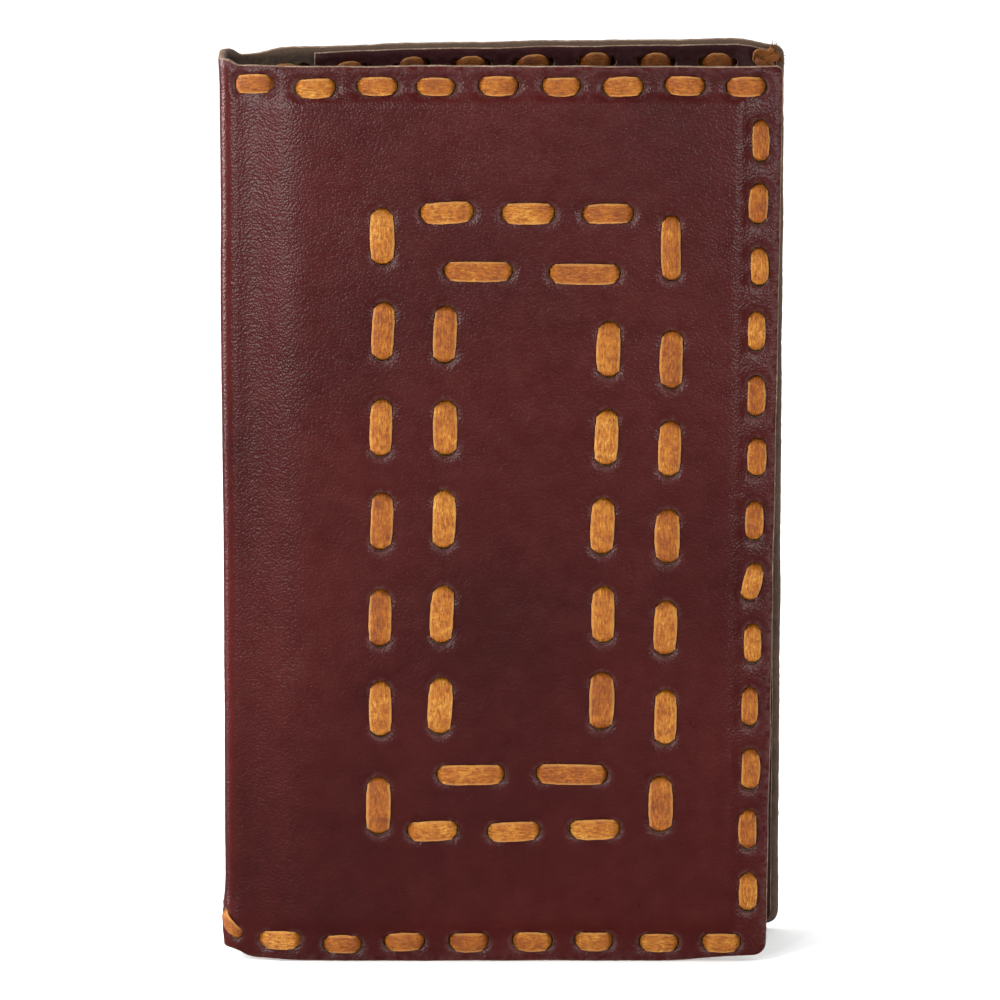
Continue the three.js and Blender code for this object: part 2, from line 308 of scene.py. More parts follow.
def swell(side, s, z):
    """How far the leather stands out of its flat place, without the dimples of its holes."""
    out = FIELD_RISE * field(side, s, z)
    on_panel = smooth((s - START) / 12)
    out = out + on_panel * 0.32 * bumps(s, z, 46, side.seed)
    out = out + on_panel * 0.10 * bumps(s, z, 15, side.seed + 1)
    to_edge = side.edge(z) - s
    out = out - 0.75 * smooth(1 - to_edge / 8.5)
    out = out - 1.3 * smooth(1 - (s - START) / 13) * smooth((s - FLAT - 1.5) / 6)
    head = np.clip(1 - (HEIGHT - z) / 7.5, 0, 1)
    foot = np.clip(1 - z / 7.5, 0, 1)
    wave = on_panel * (0.16 * np.sin(s / 4.9 + side.seed) + 0.22 * bumps(s, z, 11, side.seed + 2))
    side_wave = 0.2 * bumps(z, s, 12, side.seed + 3)
    out = out + (head**1.5 + foot**1.5) * wave + np.clip(1 - to_edge / 7, 0, 1) ** 1.5 * side_wave
    spine = smooth(1 - (s - FLAT) / BEND)
    out = out + spine * (0.25 * bumps(s * 0.4, z, 38, side.seed + 4) + 0.06 * bumps(s, z, 9, 8))
    bulge = np.exp(-(((z - 8.5) / 6.5) ** 2)) * smooth((15.5 - s) / 7)
    lip = np.clip(1 - (HEIGHT + 1.5 - z) / 9, 0, 1) ** 1.5 * smooth((12 - s) / 6)
    return out + 0.85 * bulge + 0.4 * lip


def sag(side, s, z):
    """How far the cover leather is pressed into the book, which its pocket and lace have to follow."""
    return np.maximum(-swell(side, s, z), 0)


def dimples(stitches, s, z):
    """(how far the holes pull the leather in, how near a place is to a hole, from 0 to 1)."""
    pull, near = np.zeros_like(s), np.zeros_like(s)
    for stitch in stitches:
        for hole in stitch.holes():
            off = np.hypot(s - hole[0], z - hole[1]) - stitch.radius()
            close = np.clip(off, 0, None)
            pull += 0.22 * np.exp(-((close / 0.8) ** 2)) - 0.03 * np.exp(-(((close - 1.9) / 0.8) ** 2))
            near = np.maximum(near, np.exp(-((close / 0.55) ** 2)))
        across = (s - stitch.centre[0]) * stitch.left[0] + (z - stitch.centre[1]) * stitch.left[1]
        down = (s - stitch.centre[0]) * stitch.way[0] + (z - stitch.centre[1]) * stitch.way[1]
        under = np.exp(-((across / stitch.width * 1.5) ** 2)) * (np.abs(down) < stitch.length / 2)
        pull += 0.08 * under
    return pull, near


# ---- Meshes ----


def inside(polygon, points):
    """Which points lie in a polygon."""
    result = np.zeros(len(points), bool)
    x, y = points[:, 0], points[:, 1]
    for (x0, y0), (x1, y1) in zip(polygon, np.roll(polygon, -1, 0)):
        crosses = (y0 > y) != (y1 > y)
        if crosses.any():
            result ^= crosses & (x < (x1 - x0) * (y - y0) / (y1 - y0 + 1e-12) + x0)
    return result


def ring(centre, radius, count):
    turns = np.arange(count) / count * 2 * math.pi
    return np.array(centre) + radius * np.stack([np.cos(turns), np.sin(turns)], -1)


def resampled(polygon, step):
    """The closed polygon with points about step apart."""
    points = []
    for a, b in zip(polygon, np.roll(polygon, -1, 0)):
        count = max(1, round(float(np.linalg.norm(b - a)) / step))
        points += [a + (b - a) * i / count for i in range(count)]
    return np.array(points)


HOLE_SIDES = 18
HOLE_RINGS = ((0.5, 18), (1.15, 16), (2.0, 14))  # round each hole: how far out and how many points
HOLE_CLEAR = 2.5  # from a hole's edge to the nearest point of the even grid
ROW_HEIGHT = 0.866  # of a triangle whose sides are 1


def grid_points(outline, holes, step):
    """Even points inside an outline, clear of its edge and its holes."""
    low, high = outline.min(0), outline.max(0)
    rows = int((high[1] - low[1]) / (step * ROW_HEIGHT)) + 1
    columns = int((high[0] - low[0]) / step) + 1
    grid = np.array([
        (low[0] + (i + 0.5 * (j % 2)) * step, low[1] + j * step * ROW_HEIGHT)
        for j in range(rows)
        for i in range(columns)
    ])
    grid = grid[inside(outline, grid)]
    clear = np.full(len(grid), True)
    for c, r in holes:
        clear &= np.hypot(*(grid - c).T) > r + HOLE_CLEAR
    off_edge = []
    for part in np.array_split(np.arange(len(grid)), max(1, len(grid) // 500)):
        gaps = np.linalg.norm(grid[part][:, None] - outline[None], axis=2).min(1)
        off_edge.append(gaps > step * 0.55)
    return grid[clear & np.concatenate(off_edge)]


def triangulated(outline, holes, step):
    """Points and counter-clockwise triangles of a flat sheet with round holes."""
    rings = [ring(c, r + out, count) for c, r in holes for out, count in HOLE_RINGS]
    extra = np.concatenate([*rings, grid_points(outline, holes, step)])
    kept = inside(outline, extra)
    for c, r in holes:
        kept &= np.hypot(*(extra - c).T) > r + 0.25
    extra = extra[kept]
    extra = extra[unique_rows(extra, 0.3)]
    loops = [outline, *(ring(c, r, HOLE_SIDES) for c, r in holes)]
    points = np.concatenate([*loops, extra])
    edges, start = [], 0
    for loop in loops:
        edges += [(start + i, start + (i + 1) % len(loop)) for i in range(len(loop))]
        start += len(loop)
    made, _, faces, *_ = geometry.delaunay_2d_cdt([Vector(p) for p in points], edges, [], 0, 1e-5)
    made = np.array([tuple(p) for p in made])
    faces = np.array(faces)
    centres = made[faces].mean(1)
    good = inside(outline, centres)
    for c, r in holes:
        good &= np.hypot(*(centres - c).T) > r * 0.96
    return made, faces[good]


def unique_rows(points, apart):
    """Indices of points that aren't in the same small cell as an earlier one."""
    _, first = np.unique(np.round(points / apart).astype(int), axis=0, return_index=True)
    return np.sort(first)


# Across a cut edge: the share of the thickness, and how far the edge bulges there.
RIM = ((0.12, 0.16), (0.42, 0.24), (0.72, 0.2), (0.94, 0.08))


def rim_edges(faces):
    """The edges that only one triangle has, the way round that it has them."""
    used = np.sort(np.concatenate([faces[:, [0, 1]], faces[:, [1, 2]], faces[:, [2, 0]]]), axis=1)
    pairs, uses = np.unique(used, axis=0, return_counts=True)
    single = set(map(tuple, pairs[uses == 1]))
    turns = ((a, b) for f in faces for a, b in ((f[0], f[1]), (f[1], f[2]), (f[2], f[0])))
    return [(a, b) for a, b in turns if (min(a, b), max(a, b)) in single]


def away_from_sheet(flat, rim, index):
    """For each point of the rim, the way out of the sheet."""
    out = np.zeros((len(index), 2))
    for a, b in rim:
        way = flat[b] - flat[a]
        normal = np.array([way[1], -way[0]]) / (np.linalg.norm(way) + 1e-9)
        out[index[a]] += normal
        out[index[b]] += normal
    return out / (np.linalg.norm(out, axis=1)[:, None] + 1e-9)


def keep_seam_sharp(obj, flat, seam):
    """Marks the edges of both faces along s = seam, where the sheet's other half goes on."""
    count = len(flat)
    sharp = obj.data.attributes.new("sharp_edge", "BOOLEAN", "EDGE")
    for edge in obj.data.edges:
        on_faces = all(v < 2 * count for v in edge.vertices)
        if on_faces and all(abs(flat[v % count][0] - seam) < 1e-3 for v in edge.vertices):
            sharp.data[edge.index].value = True


def sheet_object(name, side, flat, faces, top, thick, materials, seam=None, wear_and_highlight=None, fuzz=0.07, bevel=1.0):
    """A sheet of leather or board as a closed mesh. top is the depth of its outer face at each point.

    Material 0 is the outer face, 1 the inner face and 2 the cut edge. The edge along s = seam is square.
    """
    count = len(flat)
    rim = rim_edges(faces)
    on_rim = sorted({v for pair in rim for v in pair})
    index = {v: i for i, v in enumerate(on_rim)}
    out = away_from_sheet(flat, rim, index)
    if seam is not None:
        out[np.abs(flat[on_rim][:, 0] - seam) < 1e-3] = 0
    rough = bumps(flat[on_rim][:, 0], flat[on_rim][:, 1], 0.7, 3)
    s, z = flat[:, 0], flat[:, 1]
    layers = [place(side, s, z, top), place(side, s, z, top + thick)]
    for share, proud in RIM:
        at = flat[on_rim] + out * (proud * bevel + fuzz * rough * (1 + share))[:, None]
        layers.append(place(side, at[:, 0], at[:, 1], top[on_rim] + thick * share))
    polygons = [tuple(f) for f in faces] + [tuple(count + v for v in f[::-1]) for f in faces]
    slots = [0] * len(faces) + [1] * len(faces)
    for a, b in rim:
        across = []
        for v in (a, b):
            on_edge = [2 * count + k * len(on_rim) + index[v] for k in range(len(RIM))]
            across.append((v, *on_edge, count + v))
        for k in range(len(RIM) + 1):
            polygons.append((across[1][k], across[0][k], across[0][k + 1], across[1][k + 1]))
            slots.append(2)
    if side.sign < 0:
        polygons = [p[::-1] for p in polygons]
    obj = mesh_object(name, np.concatenate(layers), polygons, materials, slots)
    if seam is not None:
        keep_seam_sharp(obj, flat, seam)
    if wear_and_highlight is None:
        wear_and_highlight = np.zeros(count)
    # Per point: rubbing along the edges and a painted highlight round the holes, both painted paler by the
    # materials.
    worn_and_lit = np.concatenate([wear_and_highlight, wear_and_highlight, np.tile(wear_and_highlight[on_rim], len(RIM))]).astype(np.float32)
    obj.data.attributes.new("wear_and_highlight", "FLOAT", "POINT").data.foreach_set("value", worn_and_lit)
    return obj


def mesh_object(name, vertices, polygons, materials, slots=None):
    mesh = bpy.data.meshes.new(name)
    mesh.from_pydata([tuple(v) for v in vertices], [], polygons)
    for material in materials:
        mesh.materials.append(material)
    if slots is not None:
        mesh.polygons.foreach_set("material_index", slots)
    mesh.polygons.foreach_set("use_smooth", [True] * len(mesh.polygons))
    mesh.update()
    obj = bpy.data.objects.new(name, mesh)
    bpy.context.scene.collection.objects.link(obj)
    return obj


# ---- Materials ----


class Nodes:
    """A short way to build a material's node tree around its Principled shader."""

    def __init__(self, name):
        self.material = bpy.data.materials.new(name)
        self.material.use_nodes = True
        self.tree = self.material.node_tree
        self.shader = self.tree.nodes["Principled BSDF"]
        self.coordinates = self.tree.nodes.new("ShaderNodeTexCoord")

    def add(self, kind, settings=None, **inputs):
        node = self.tree.nodes.new("ShaderNode" + kind)
        for key, value in (settings or {}).items():
            setattr(node, key, value)
        for key, value in inputs.items():
            self.feed(node.inputs[int(key[1:]) if key[0] == "i" and key[1:].isdigit() else key], value)
        return node

    def feed(self, socket, value):
        if isinstance(value, bpy.types.NodeSocket):
            self.tree.links.new(value, socket)
        else:
            socket.default_value = value

    def place(self, scale=(1, 1, 1)):
        """Object coordinates, stretched."""
        node = self.add("Mapping", Vector=self.coordinates.outputs["Object"])
        node.inputs["Scale"].default_value = scale
        return node.outputs[0]

    def noise(self, vector, scale, detail=3.0, rough=0.5, distort=0.0):
        shape = {"Scale": scale, "Detail": detail, "Roughness": rough, "Distortion": distort}
        return self.add("TexNoise", Vector=vector, **shape).outputs["Fac"]

    def cells(self, vector, scale):
        node = self.add("TexVoronoi", {"feature": "SMOOTH_F1"}, Vector=vector, Scale=scale, Smoothness=0.5)
        return node.outputs["Distance"]

    def ramp(self, factor, stops):
        node = self.add("ValToRGB", i0=factor)
        elements = node.color_ramp.elements
        while len(elements) < len(stops):
            elements.new(0.5)
        for element, (position, colour) in zip(elements, stops):
            element.position = position
            element.color = (*colour, 1.0)
        return node.outputs["Color"]

    def mix(self, factor, a, b):
        node = self.add("Mix", {"data_type": "RGBA"}, i0=factor)
        for socket, value in ((node.inputs[6], a), (node.inputs[7], b)):
            self.feed(socket, value if isinstance(value, bpy.types.NodeSocket) else (*value, 1.0))
        return node.outputs[2]

    def over(self, colour, share, amount, other):
        """A colour with another laid over it by share, at most amount."""
        return self.mix(self.math("MULTIPLY", share, amount), colour, other)

    def both(self, a, share_a, b, share_b):
        """A sum of shares of two values."""
        return self.math("ADD", self.math("MULTIPLY", a, share_a), self.math("MULTIPLY", b, share_b))

    def math(self, operation, a, b=0.0, clamp=False):
        node = self.add("Math", {"operation": operation, "use_clamp": clamp}, i0=a, i1=b)
        return node.outputs[0]

    def spread(self, value, low, high, to_low=0.0, to_high=1.0):
        node = self.add("MapRange", i0=value, i1=low, i2=high, i3=to_low, i4=to_high)
        return node.outputs[0]

    def attribute(self, name):
        return self.add("Attribute", {"attribute_name": name}).outputs["Fac"]

    def bump(self, height, distance, strength=1.0, under=None):
        node = self.add("Bump", Height=height, Distance=distance, Strength=strength)
        if under is not None:
            self.feed(node.inputs["Normal"], under)
        return node.outputs[0]

    def finish(self, colour, roughness, normal, **constants):
        self.feed(self.shader.inputs["Base Color"], colour)
        self.feed(self.shader.inputs["Roughness"], roughness)
        self.feed(self.shader.inputs["Normal"], normal)
        for key, value in constants.items():
            self.shader.inputs[key.replace("_", " ")].default_value = value
        return self.material


def srgb(red, green, blue):
    """A linear colour from 8-bit display values."""
    return tuple(
        c / 12.92 if c <= 0.04045 else ((c + 0.055) / 1.055) ** 2.4
        for c in (v / 255 for v in (red, green, blue))
    )


def grain_leather(name, dark, middle, light, shine=0.28, depth=0.00014):
    """Full-grain leather: soft mottling, pebbled grain, pores, and a greyish tone that is rubbing along the
    edges and a painted highlight on the lips of the holes.
    """
    n = Nodes(name)
    at = n.place()
    clouds = n.noise(at, 16, 3, 0.5)
    mottle = n.noise(at, 190, 4, 0.6)
    colour = n.ramp(n.both(clouds, 0.68, mottle, 0.32), [(0.36, dark), (0.5, middle), (0.66, light)])
    cells = n.spread(n.cells(at, 1650), 0.0, 0.75)
    colour = n.over(colour, cells, 0.3, dark)
    pores = n.spread(n.noise(at, 2600, 2, 0.5), 0.60, 0.72)
    colour = n.over(colour, pores, 0.4, tuple(c * 0.4 for c in dark))
    worn_and_lit = n.attribute("wear_and_highlight")
    rubbed_and_lit = n.math("MULTIPLY", worn_and_lit, n.spread(n.noise(at, 700, 3, 0.6), 0.38, 0.62), clamp=True)
    # The grey is rubbing along the cut edges, and a painted highlight on the raised lips round the holes.
    colour = n.over(colour, rubbed_and_lit, 0.32, srgb(112, 84, 82))
    wrinkle = n.noise(n.place((1.0, 1.0, 0.55)), 300, 4, 0.6, 0.7)
    soft = n.noise(at, 95, 3, 0.55)
    normal = n.bump(soft, 0.0007, 0.2)
    normal = n.bump(wrinkle, 0.0003, 0.17, normal)
    normal = n.bump(n.math("SUBTRACT", 1.0, cells), depth, 0.42, normal)
    normal = n.bump(n.noise(at, 2400, 3, 0.6), depth * 0.5, 0.25, normal)
    rough = n.math("ADD", shine - 0.05, n.math("MULTIPLY", mottle, 0.14))
    rough = n.math("ADD", rough, n.math("MULTIPLY", rubbed_and_lit, 0.15))
    return n.finish(colour, rough, normal, Specular_IOR_Level=0.2)


def flesh_side():
    """The raw underside: short suede fibres."""
    n = Nodes("flesh_side")
    at = n.place()
    nap = n.noise(at, 1500, 5, 0.7)
    patches = n.noise(at, 90, 4, 0.6)
    shade = n.both(nap, 0.5, patches, 0.5)
    colour = n.ramp(shade, [(0.32, srgb(36, 27, 20)), (0.5, srgb(56, 43, 33)), (0.7, srgb(98, 80, 62))])
    # Paler where the leather is rubbed at its edges, and a painted highlight round the holes.
    colour = n.over(colour, n.attribute("wear_and_highlight"), 0.6, srgb(112, 88, 72))
    normal = n.bump(nap, 0.00025, 0.9)
    return n.finish(colour, 0.95, normal, Specular_IOR_Level=0.12, Sheen_Weight=0.25, Sheen_Roughness=0.6)


def cut_edge():
    """The cut through the leather: pale fibres with darker streaks."""
    n = Nodes("cut_edge")
    at = n.place()
    fibres = n.noise(n.place((1.0, 3.0, 1.0)), 900, 5, 0.75)
    patches = n.noise(at, 160, 3, 0.6)
    shade = n.both(fibres, 0.65, patches, 0.35)
    colour = n.ramp(shade, [(0.3, srgb(66, 50, 42)), (0.5, srgb(118, 96, 80)), (0.7, srgb(186, 164, 144))])
    return n.finish(colour, 0.9, n.bump(fibres, 0.0003, 0.9), Specular_IOR_Level=0.15)


def hole_wall_painted_shade():
    """Inside a punched hole: the cut painted dark, a painted shade in the hole."""
    n = Nodes("hole_wall_painted_shade")
    fibres = n.noise(n.place(), 1100, 4, 0.7)
    colour = n.ramp(fibres, [(0.35, srgb(28, 18, 14)), (0.65, srgb(70, 48, 38))])
    return n.finish(colour, 0.9, n.bump(fibres, 0.0002, 0.8), Specular_IOR_Level=0.15)


def lace_leather():
    """Tan lacing leather, streaked along its length, with a painted highlight along both edges. A tint below
    0 darkens it: painted shade on the passes inside the book, and a darker knot.
    """
    n = Nodes("lace_leather")
    uv = n.add("UVMap", {"uv_map": "strip"}).outputs["UV"]
    tint = n.attribute("tint")

    def strip(scale_across, scale_along):
        node = n.add("Mapping", Vector=uv)
        node.inputs["Scale"].default_value = (scale_across, scale_along, 1.0)
        return node.outputs[0]

    fibres = n.noise(strip(2.9, 0.5), 1.0, 5, 0.7, 0.4)
    dashes = n.spread(n.noise(strip(1.9, 0.62), 1.0, 3, 0.6, 0.3), 0.5, 0.62)
    ticks = n.noise(strip(0.7, 1.6), 1.0, 4, 0.7, 0.5)
    blotch = n.noise(n.place(), 260, 3, 0.6)
    shade = n.both(fibres, 0.5, ticks, 0.16)
    shade = n.math("ADD", shade, n.math("MULTIPLY", blotch, 0.34))
    shade = n.math("ADD", shade, n.spread(tint, 0, 1, -0.05, 0.05))
    colour = n.ramp(shade, [
        (0.36, srgb(106, 46, 3)),
        (0.46, srgb(146, 77, 9)),
        (0.55, srgb(170, 103, 21)),
        (0.66, srgb(200, 146, 62)),
    ])
    colour = n.over(colour, dashes, 0.72, srgb(120, 56, 6))
    # A painted highlight along both edges of the lace.
    across = n.add("SeparateXYZ", Vector=uv).outputs["X"]
    rim = n.spread(n.math("ABSOLUTE", across), 1.75, 2.35)
    colour = n.over(colour, rim, 0.6, srgb(204, 148, 78))
    # Below 0 the tint mixes towards dark brown: painted shade on the passes inside the book, and a darker
    # tone on the knot.
    colour = n.mix(n.spread(tint, -1.0, -0.2, 0.6, 0.0), colour, srgb(82, 46, 16))
    normal = n.bump(fibres, 0.0005, 0.75)
    normal = n.bump(ticks, 0.0004, 0.5, normal)
    rough = n.spread(blotch, 0.3, 0.7, 0.48, 0.66)
    return n.finish(colour, rough, normal, Specular_IOR_Level=0.32)


def greyboard():
    """Stiffener board: grey paper pulp with flecks."""
    n = Nodes("greyboard")
    at = n.place()
    pulp = n.noise(at, 600, 5, 0.7)
    fleck = n.spread(n.noise(at, 1800, 2, 0.5), 0.62, 0.7)
    colour = n.ramp(pulp, [(0.3, srgb(112, 104, 94)), (0.7, srgb(158, 149, 136))])
    colour = n.over(colour, fleck, 0.5, srgb(80, 74, 68))
    return n.finish(colour, 0.92, n.bump(pulp, 0.0001, 0.6), Specular_IOR_Level=0.2)


BURGUNDY = grain_leather("cover_grain", srgb(52, 11, 10), srgb(62, 14, 12), srgb(71, 19, 16))
INNER_BURGUNDY = grain_leather("pocket_grain", srgb(42, 13, 16), srgb(54, 17, 20), srgb(66, 26, 27), 0.5)
FLESH = flesh_side()
CUT = cut_edge()
HOLE = hole_wall_painted_shade()
LACE = lace_leather()
PULP = greyboard()


# ---- The cover leather ----


def wavy(points, centre, amount, size, seed):
    """An outline with its points moved in and out a little, as a knife leaves it."""
    drift = bumps(points[:, 0], points[:, 1], size, seed) * amount
    return points + unit(points - centre) * drift[:, None]


def corner(centre, radius, start, steps=6):
    """A quarter turn about centre, counter-clockwise from the start angle in degrees."""
    turns = [math.radians(start + 90 * i / steps) for i in range(steps + 1)]
    return [(centre[0] + radius * math.cos(t), centre[1] + radius * math.sin(t)) for t in turns]


def head_line(side, s):
    """Height of the head edge along s. It stands highest at the spine, and the back is cut higher."""
    s = np.asarray(s, float)
    line = HEIGHT - 0.25 + 0.26 * bumps(s, 0 * s, 14, side.seed) + 0.1 * bumps(s, 0 * s, 4, side.seed + 1)
    spine = 1.5 * smooth((START - s) / 4.5)
    if side is FRONT:
        return line + spine
    rise = 1.5 * smooth((s - START - 0.5) / 12) + 0.5 * smooth((s - START - 15) / 30)
    corner = 2.0 * smooth((s - along(128)) / 13)
    return line + spine + rise - corner


def foot_line(side, s):
    """Height of the foot edge along s. It rises to the spine, where the slanting stitch gathers it up."""
    s = np.asarray(s, float)
    line = np.maximum(0.3 + 0.28 * bumps(s, 0 * s, 13, side.seed + 5), 0.02)
    gathered = 2.6 * smooth((16.5 - s) / 8.0) + 0.5 * smooth((30 - s) / 14)
    corner = 1.3 * smooth((s - along(112)) / 18)
    return line + gathered + corner


def cover_outline(side):
    """Round the leather from the foot of the spine's middle to its head, and straight back down."""
    radius = 1.6 if side is FRONT else 2.4
    foot_radius = 3.0
    head_far = float(side.edge(HEIGHT)) - radius
    foot_far = float(side.edge(0)) - foot_radius
    foot = np.arange(0, foot_far, 1.1)
    head = np.arange(head_far, 0, -1.1)
    lift = float(foot_line(side, foot_far))
    lower = corner((foot_far, lift + foot_radius), foot_radius, -90)
    top = float(head_line(side, head_far))
    upper = corner((head_far, top - radius), radius, 0)
    sides = [(float(side.edge(z)), z) for z in np.arange(lift + 4.5, top - radius - 1.5, 1.1)]
    sides = [(s + 0.25 * noise.noise(Vector((z / 16, side.seed, 0))), z) for s, z in sides]
    points = [*zip(foot, foot_line(side, foot)), *lower, *sides, *upper, *zip(head, head_line(side, head))]
    points += [(0.0, z) for z in np.linspace(float(head_line(side, 0)), float(foot_line(side, 0)), 150)][:-1]
    return np.array(points)


RUBBED = 0.9  # how far in from the edges the leather is rubbed


def cover_leather(side):
    outline = cover_outline(side)
    stitches = stitches_on(side)
    holes = [(hole, stitch.radius()) for stitch in stitches for hole in stitch.holes()]
    flat, faces = triangulated(outline, holes, 1.9)
    s, z = flat[:, 0], flat[:, 1]
    pull, near = dimples(stitches, s, z)
    top = -swell(side, s, z) + pull
    edge = np.max([np.exp(-gap / RUBBED) for gap in (side.edge(z) - s, HEIGHT - z, z)], axis=0)
    # Rubbing along the edges, and a painted highlight round the holes, which the materials paint paler.
    wear_and_highlight = np.clip(np.maximum(near * 0.9, edge), 0, 1)
    obj = sheet_object(side.name + "_cover", side, flat, faces, top, COVER, [BURGUNDY, FLESH, CUT], 0.0, wear_and_highlight)
    darken_holes(obj, outline, flat, holes)
    blend_at_fold(obj)
    nodes = [side.name + "_cover_leather"] + (["spine_leather"] if side is FRONT else [])
    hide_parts(*nodes)


def blend_at_fold(obj):
    """Bakes the piece's placement into its mesh."""
    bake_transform(obj)


def darken_holes(obj, outline, flat, holes):
    """Gives the walls of the punched holes their own material, painted dark as shade."""
    obj.data.materials.append(HOLE)
    slot = len(obj.data.materials) - 1
    count = len(flat)
    in_hole = np.zeros(count, bool)
    for c, r in holes:
        in_hole |= np.abs(np.hypot(*(flat - c).T) - r) < 0.02
    for polygon in obj.data.polygons:
        if polygon.material_index == 2:
            ends = [v % count for v in polygon.vertices if v < 2 * count]
            if ends and all(in_hole[v] for v in ends):
                polygon.material_index = slot


for _side in (FRONT, BACK):
    cover_leather(_side)

# ---- Pockets and boards ----


def hump(side, s, z):
    """1 where the pocket leather is formed over the board, and 0 on its laced flange."""
    far = along(min(side.reach_head, side.reach_foot) - 9.0)
    return (
        smooth((far - s) / 2.4 + 0.5)
        * smooth((z - FLANGE - 0.1) / 2.4 + 0.5)
        * smooth((HEIGHT - FLANGE - 0.1 - z) / 2.4 + 0.5)
    )


def pocket_outline(side):
    """Round the pocket from the foot of its mouth. The back one reaches up as its cover leather does."""
    mouth, low, high = along(POCKET_EDGE), POCKET_INSET, HEIGHT - POCKET_INSET
    foot_far, head_far = float(side.edge(0)) - POCKET_INSET, float(side.edge(HEIGHT)) - POCKET_INSET
    radius = 2.5
    points = [(s, low) for s in np.arange(mouth, foot_far - radius, 1.2)]
    points += corner((foot_far - radius, low + radius), radius, -90)
    points += [(float(side.edge(z)) - POCKET_INSET, z) for z in np.arange(low + 4, high - 4, 1.2)]
    points += corner((head_far - radius, high - radius), radius, 0)
    points += [(s, high) for s in np.arange(head_far - radius - 1.2, mouth, -1.2)]
    points += [(mouth, z) for z in np.arange(high, low, -1.2)]
    points = np.array(points)
    if side is BACK:
        lifted = np.clip(points[:, 1] / high, 0, 1) ** 6
        points[:, 1] += lifted * (head_line(side, points[:, 0]) - 1.15 - high)
    return wavy(points, points.mean(0), 0.22, 12, side.seed + 7)


POCKET_HOLE = 1.45  # radius. The lace only just passes through the pocket leather


def pocket(side):
    outline = pocket_outline(side)
    holes = [
        (hole, POCKET_HOLE)
        for stitch in BORDERS[side.name]
        for hole in (stitch.a + stitch.way * 1.1, stitch.b - stitch.way * 1.1)
        if hole[0] - POCKET_HOLE > along(POCKET_EDGE) + 0.35
    ]
    flat, faces = triangulated(outline, holes, 2.3)
    s, z = flat[:, 0], flat[:, 1]
    raised = side.pocket_depth() + 0.25 * bumps(s, z, 40, side.seed + 9)
    flange = FLANGE_DEPTH + sag(side, s, z)
    top = flange + (raised - flange) * hump(side, s, z)
    _, near = dimples(BORDERS[side.name], s, z)
    # Near the holes the pocket leather is painted paler, a painted highlight.
    obj = sheet_object(side.name + "_pocket_leather", side, flat, faces, top, POCKET,
                       [FLESH, INNER_BURGUNDY, CUT], wear_and_highlight=near * 0.5)
    darken_holes(obj, outline, flat, holes)
    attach(obj, side.body)
    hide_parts(side.name + "_pocket")


def board(side):
    far = along(min(side.reach_head, side.reach_foot) - BOARD_MARGIN)
    near, low, high = along(POCKET_MOUTH + BOARD_INSET), BOARD_MARGIN, HEIGHT - BOARD_MARGIN
    corners = [(near, low), (far, low), (far, high), (near, high)]
    outline = resampled(np.array(corners, float), 4.0)
    flat, faces = triangulated(outline, [], 6.0)
    top = np.full(len(flat), side.board_depth())
    obj = sheet_object(side.name + "_board", side, flat, faces, top, BOARD, [PULP] * 3, fuzz=0.04, bevel=0.5)
    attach(obj, side.body)
    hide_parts(side.name + "_stiffener")


for _side in (FRONT, BACK):
    board(_side)
    pocket(_side)

# ---- Laces ----

LACE_ROUND = 16  # points round the strip
UV_REACH = 2.4  # of the material's coordinates, from the middle of the lace to its edge
TURN = 1.3  # how far along a stitch the lace takes to turn over the lip of a hole
HUG = 0.08  # between the lace and the leather that it lies on


def under_depth(side, at, border):
    """Depth of the middle of the lace inside the book. Past its mouth, the pocket lies between."""
    over_pocket = border and at[0] > along(POCKET_EDGE)
    leather = FLANGE_DEPTH + POCKET if over_pocket else COVER
    return leather + HUG + LACE_THICK / 2 + float(sag(side, *at))


def tube_polygons(rings, sides):
    """The two end caps and the wall of a tube, ring after ring."""
    last = (rings - 1) * sides
    polygons = [tuple(range(sides)), tuple(range(last + sides - 1, last - 1, -1))]
    for r in range(rings - 1):
        for k in range(sides):
            a, b = r * sides + k, r * sides + (k + 1) % sides
            polygons.append((a, a + sides, b + sides, b))
    return polygons


def lace_object(name, points, polygons, across, run, tint):
    """A lace, with its material's coordinates across and along it, and its tint."""
    obj = mesh_object(name, points, polygons, [LACE])
    strip = obj.data.uv_layers.new(name="strip")
    for loop in obj.data.loops:
        strip.data[loop.index].uv = (across[loop.vertex_index] * UV_REACH, run[loop.vertex_index])
    shade = obj.data.attributes.new("tint", "FLOAT", "POINT")
    shade.data.foreach_set("value", tint.astype(np.float32))
    return obj


def flattened(turns, across, through):
    """A round section squared off: its places across and through the lace, from -1 to 1."""
    cos, sin = np.cos(turns), np.sin(turns)
    return np.sign(cos) * np.abs(cos) ** across, np.sign(sin) * np.abs(sin) ** through


